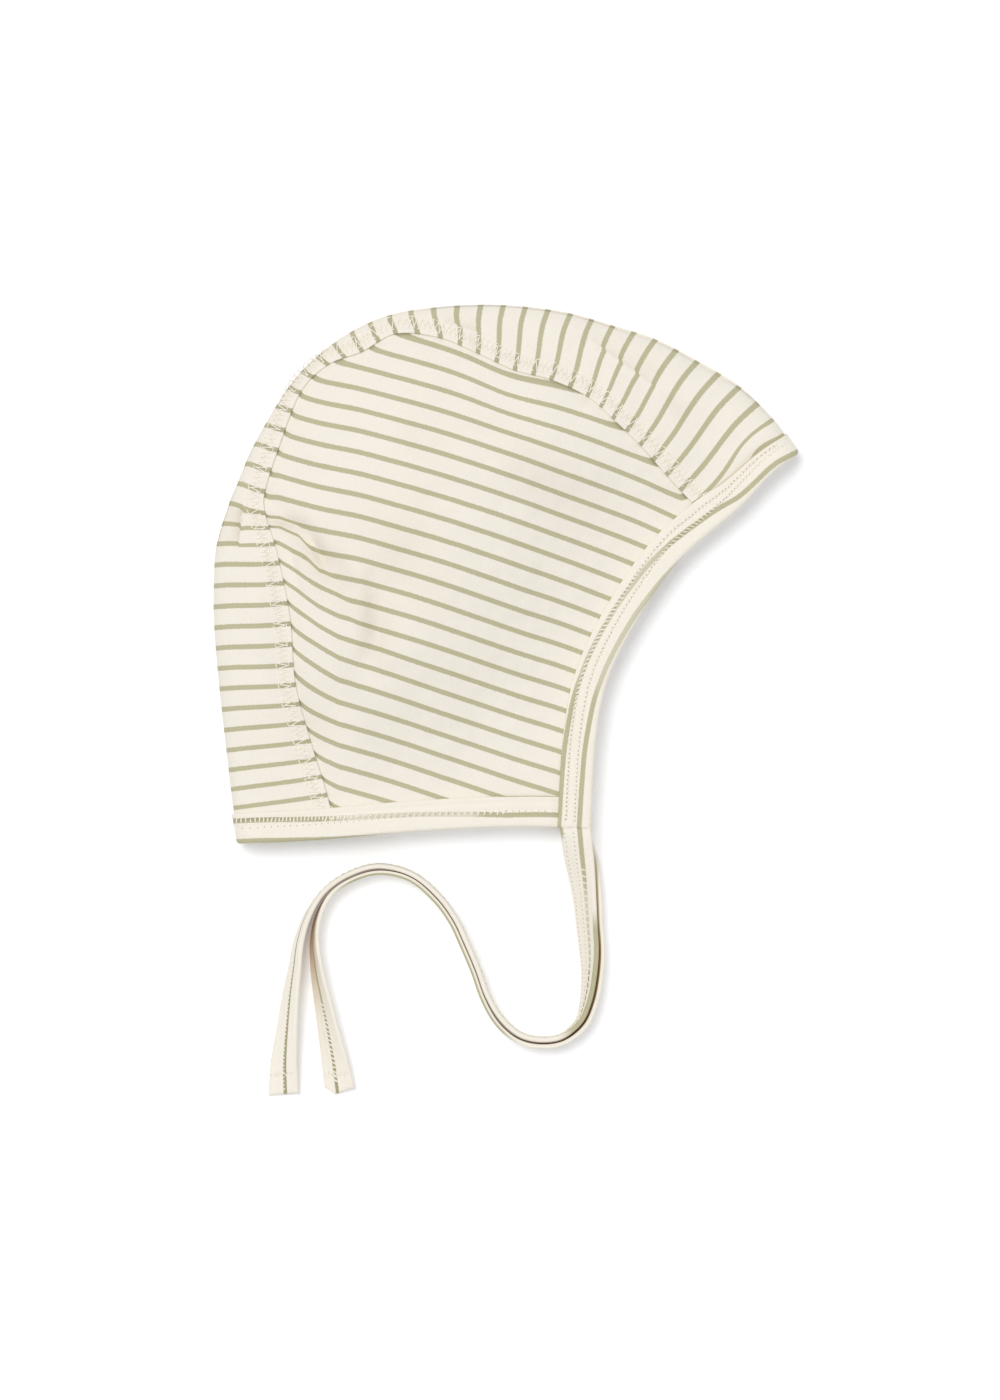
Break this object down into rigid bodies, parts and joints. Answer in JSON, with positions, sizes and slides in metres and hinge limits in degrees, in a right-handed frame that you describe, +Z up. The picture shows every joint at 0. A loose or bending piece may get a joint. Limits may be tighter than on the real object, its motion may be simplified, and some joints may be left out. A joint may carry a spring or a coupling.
{
  "type": "baby bonnet",
  "caption": "Striped jersey baby bonnet lying flat, with a peaked centre panel, bound neck and face edges and two loose chin ties.",
  "frame": {"origin": "on the surface that the bonnet lies on, under the middle of the bonnet without its ties", "axes": "+X from the nape to the peak, +Y from the neck edge to the crown, +Z up out of the surface, through both layers"},
  "size_m": [0.1762, 0.2384, 0.028],
  "materials": {
    "striped_jersey": "cream cotton jersey with narrow sage stripes",
    "binding_jersey": "folded cotton jersey with twin-needle stitching",
    "tie_jersey": "folded cotton jersey tape"
  },
  "bodies": {
    "root": {"right_side_panel": "striped_jersey", "left_side_panel": "striped_jersey", "centre_panel": "striped_jersey", "neck_binding": "binding_jersey", "face_binding": "binding_jersey", "right_tie": "tie_jersey", "left_tie": "tie_jersey"}
  },
  "joints": []
}
